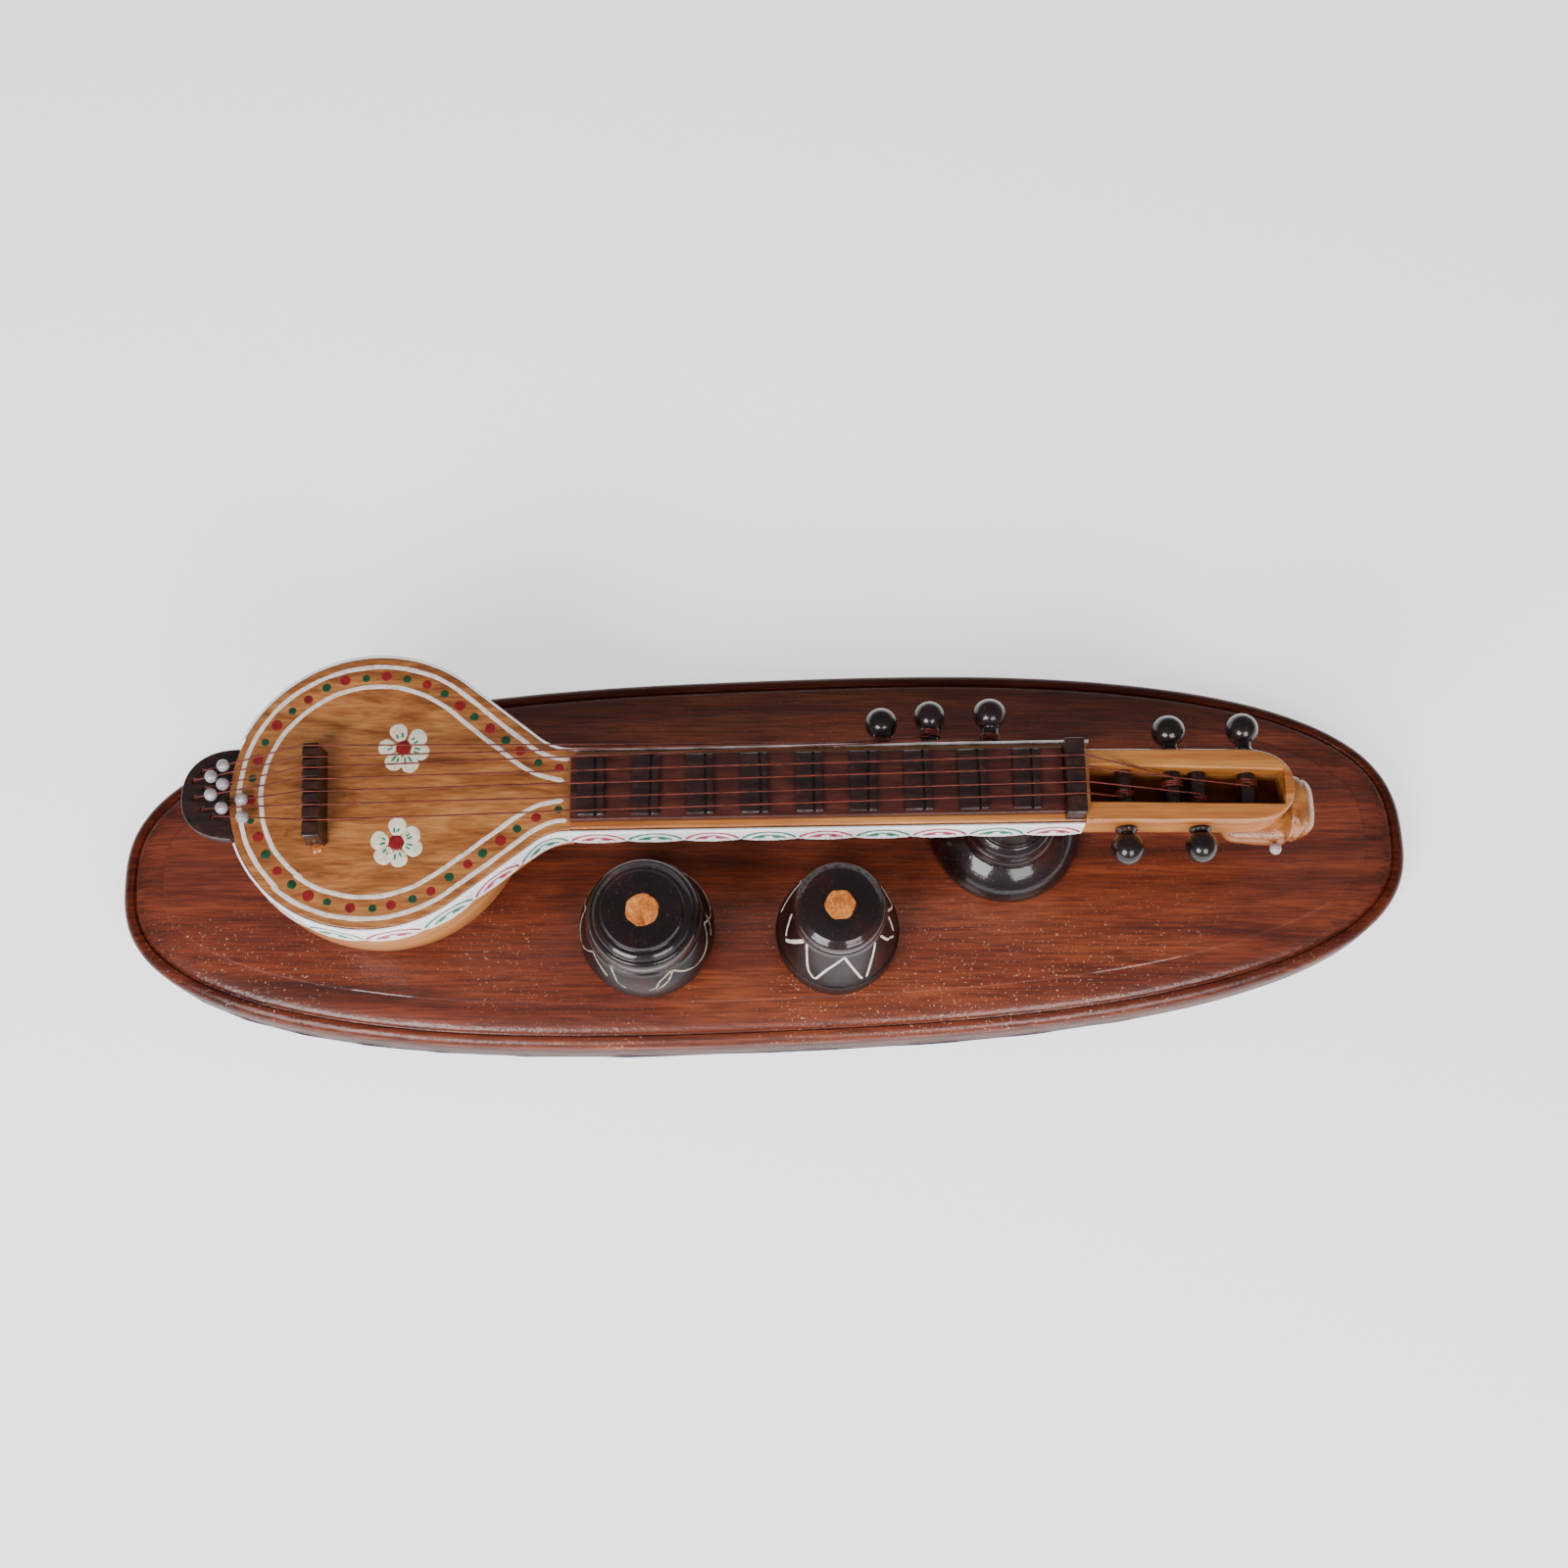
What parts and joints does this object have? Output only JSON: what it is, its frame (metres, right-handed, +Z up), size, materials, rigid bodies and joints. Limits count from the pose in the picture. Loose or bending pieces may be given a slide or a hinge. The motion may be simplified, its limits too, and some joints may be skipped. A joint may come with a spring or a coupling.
{
  "type": "miniature veena on a stand",
  "caption": "Miniature long-necked veena and two small hand drums on an oval wooden board, with turning tuning pegs and sliding tuning beads.",
  "frame": {"origin": "middle of the underside of the oval board", "axes": "+X along the neck towards the pegbox, +Z up from the board, +Y away from the drums"},
  "size_m": [0.3018, 0.0922, 0.0545],
  "materials": {
    "rosewood_board": "high gloss varnish over red-brown rosewood",
    "navy_felt": "short felt",
    "honey_wood": "satin varnish over light jackwood",
    "dark_wood": "dark stained wood, thick varnish",
    "black_lacquer": "turned wood under glossy black lacquer",
    "white_band": "thin white sheet with painted scrolls",
    "pearl": "pearl coating",
    "copper_wire": "enamelled copper wire",
    "raw_wood": "bare end grain"
  },
  "bodies": {
    "root": {"base_board": "rosewood_board", "base_backing": "navy_felt", "resonator_bowl": "honey_wood", "soundboard": "honey_wood", "neck": "honey_wood", "fingerboard": "dark_wood", "fret_1": "dark_wood", "fret_2": "dark_wood", "fret_3": "dark_wood", "fret_4": "dark_wood", "fret_5": "dark_wood", "fret_6": "dark_wood", "fret_7": "dark_wood", "fret_8": "dark_wood", "fret_9": "dark_wood", "nut": "dark_wood", "pegbox": "honey_wood", "head_scroll": "honey_wood", "head_eyes": "pearl", "bridge": "dark_wood", "tailpiece": "dark_wood", "side_band_near": "white_band", "side_band_far": "white_band", "neck_gourd": "black_lacquer", "string_1": "copper_wire", "string_2": "copper_wire", "string_3": "copper_wire", "string_4": "copper_wire", "string_5": "copper_wire", "string_6": "copper_wire", "string_7": "copper_wire", "bayan_body": "black_lacquer", "bayan_plug": "raw_wood", "dayan_body": "black_lacquer", "dayan_plug": "raw_wood"},
    "turning_peg_1": {"peg_1": "black_lacquer", "winding_1": "copper_wire"},
    "turning_peg_2": {"peg_2": "black_lacquer", "winding_2": "copper_wire"},
    "turning_peg_3": {"peg_3": "black_lacquer", "winding_3": "copper_wire"},
    "turning_peg_4": {"peg_4": "black_lacquer", "winding_4": "copper_wire"},
    "turning_peg_5": {"peg_5": "black_lacquer", "winding_5": "copper_wire"},
    "turning_peg_6": {"peg_6": "black_lacquer", "winding_6": "copper_wire"},
    "turning_peg_7": {"peg_7": "black_lacquer", "winding_7": "copper_wire"},
    "sliding_bead_1": {"bead_1": "pearl"},
    "sliding_bead_2": {"bead_2": "pearl"},
    "sliding_bead_3": {"bead_3": "pearl"},
    "sliding_bead_4": {"bead_4": "pearl"},
    "sliding_bead_5": {"bead_5": "pearl"},
    "sliding_bead_6": {"bead_6": "pearl"},
    "sliding_bead_7": {"bead_7": "pearl"}
  },
  "joints": [
    {"name": "peg_1_turn", "type": "hinge", "parent": "root", "child": "turning_peg_1", "pos_m": [0.0258, 0.01, 0.0426], "axis": [0, 1, 0], "continuous": true},
    {"name": "peg_2_turn", "type": "hinge", "parent": "root", "child": "turning_peg_2", "pos_m": [0.0366, 0.01, 0.0426], "axis": [0, 1, 0], "continuous": true},
    {"name": "peg_3_turn", "type": "hinge", "parent": "root", "child": "turning_peg_3", "pos_m": [0.05, 0.01, 0.0426], "axis": [0, 1, 0], "continuous": true},
    {"name": "peg_4_turn", "type": "hinge", "parent": "root", "child": "turning_peg_4", "pos_m": [0.0784, 0.00395, 0.0455], "axis": [0, -1, 0], "continuous": true},
    {"name": "peg_5_turn", "type": "hinge", "parent": "root", "child": "turning_peg_5", "pos_m": [0.0944, 0.00395, 0.0455], "axis": [0, -1, 0], "continuous": true},
    {"name": "peg_6_turn", "type": "hinge", "parent": "root", "child": "turning_peg_6", "pos_m": [0.0889, 0.00395, 0.0455], "axis": [0, 1, 0], "continuous": true},
    {"name": "peg_7_turn", "type": "hinge", "parent": "root", "child": "turning_peg_7", "pos_m": [0.1052, 0.00395, 0.0455], "axis": [0, 1, 0], "continuous": true},
    {"name": "bead_1_slide", "type": "slide", "parent": "root", "child": "sliding_bead_1", "axis": [0.953, 0.1539, 0.2611], "range_m": [0, 0.008]},
    {"name": "bead_2_slide", "type": "slide", "parent": "root", "child": "sliding_bead_2", "axis": [0.9617, 0.1263, 0.2432], "range_m": [-0.001, 0.0003]},
    {"name": "bead_3_slide", "type": "slide", "parent": "root", "child": "sliding_bead_3", "axis": [0.9572, 0.1115, 0.2672], "range_m": [0, 0.008]},
    {"name": "bead_4_slide", "type": "slide", "parent": "root", "child": "sliding_bead_4", "axis": [0.966, 0.0843, 0.2446], "range_m": [-0.001, 0.0003]},
    {"name": "bead_5_slide", "type": "slide", "parent": "root", "child": "sliding_bead_5", "axis": [0.9487, 0.0204, 0.3157], "range_m": [0, 0.006]},
    {"name": "bead_6_slide", "type": "slide", "parent": "root", "child": "sliding_bead_6", "axis": [0.9643, -0.0473, 0.2607], "range_m": [-0.001, 0.002]},
    {"name": "bead_7_slide", "type": "slide", "parent": "root", "child": "sliding_bead_7", "axis": [0.95, -0.1316, 0.2832], "range_m": [0, 0.006]}
  ]
}
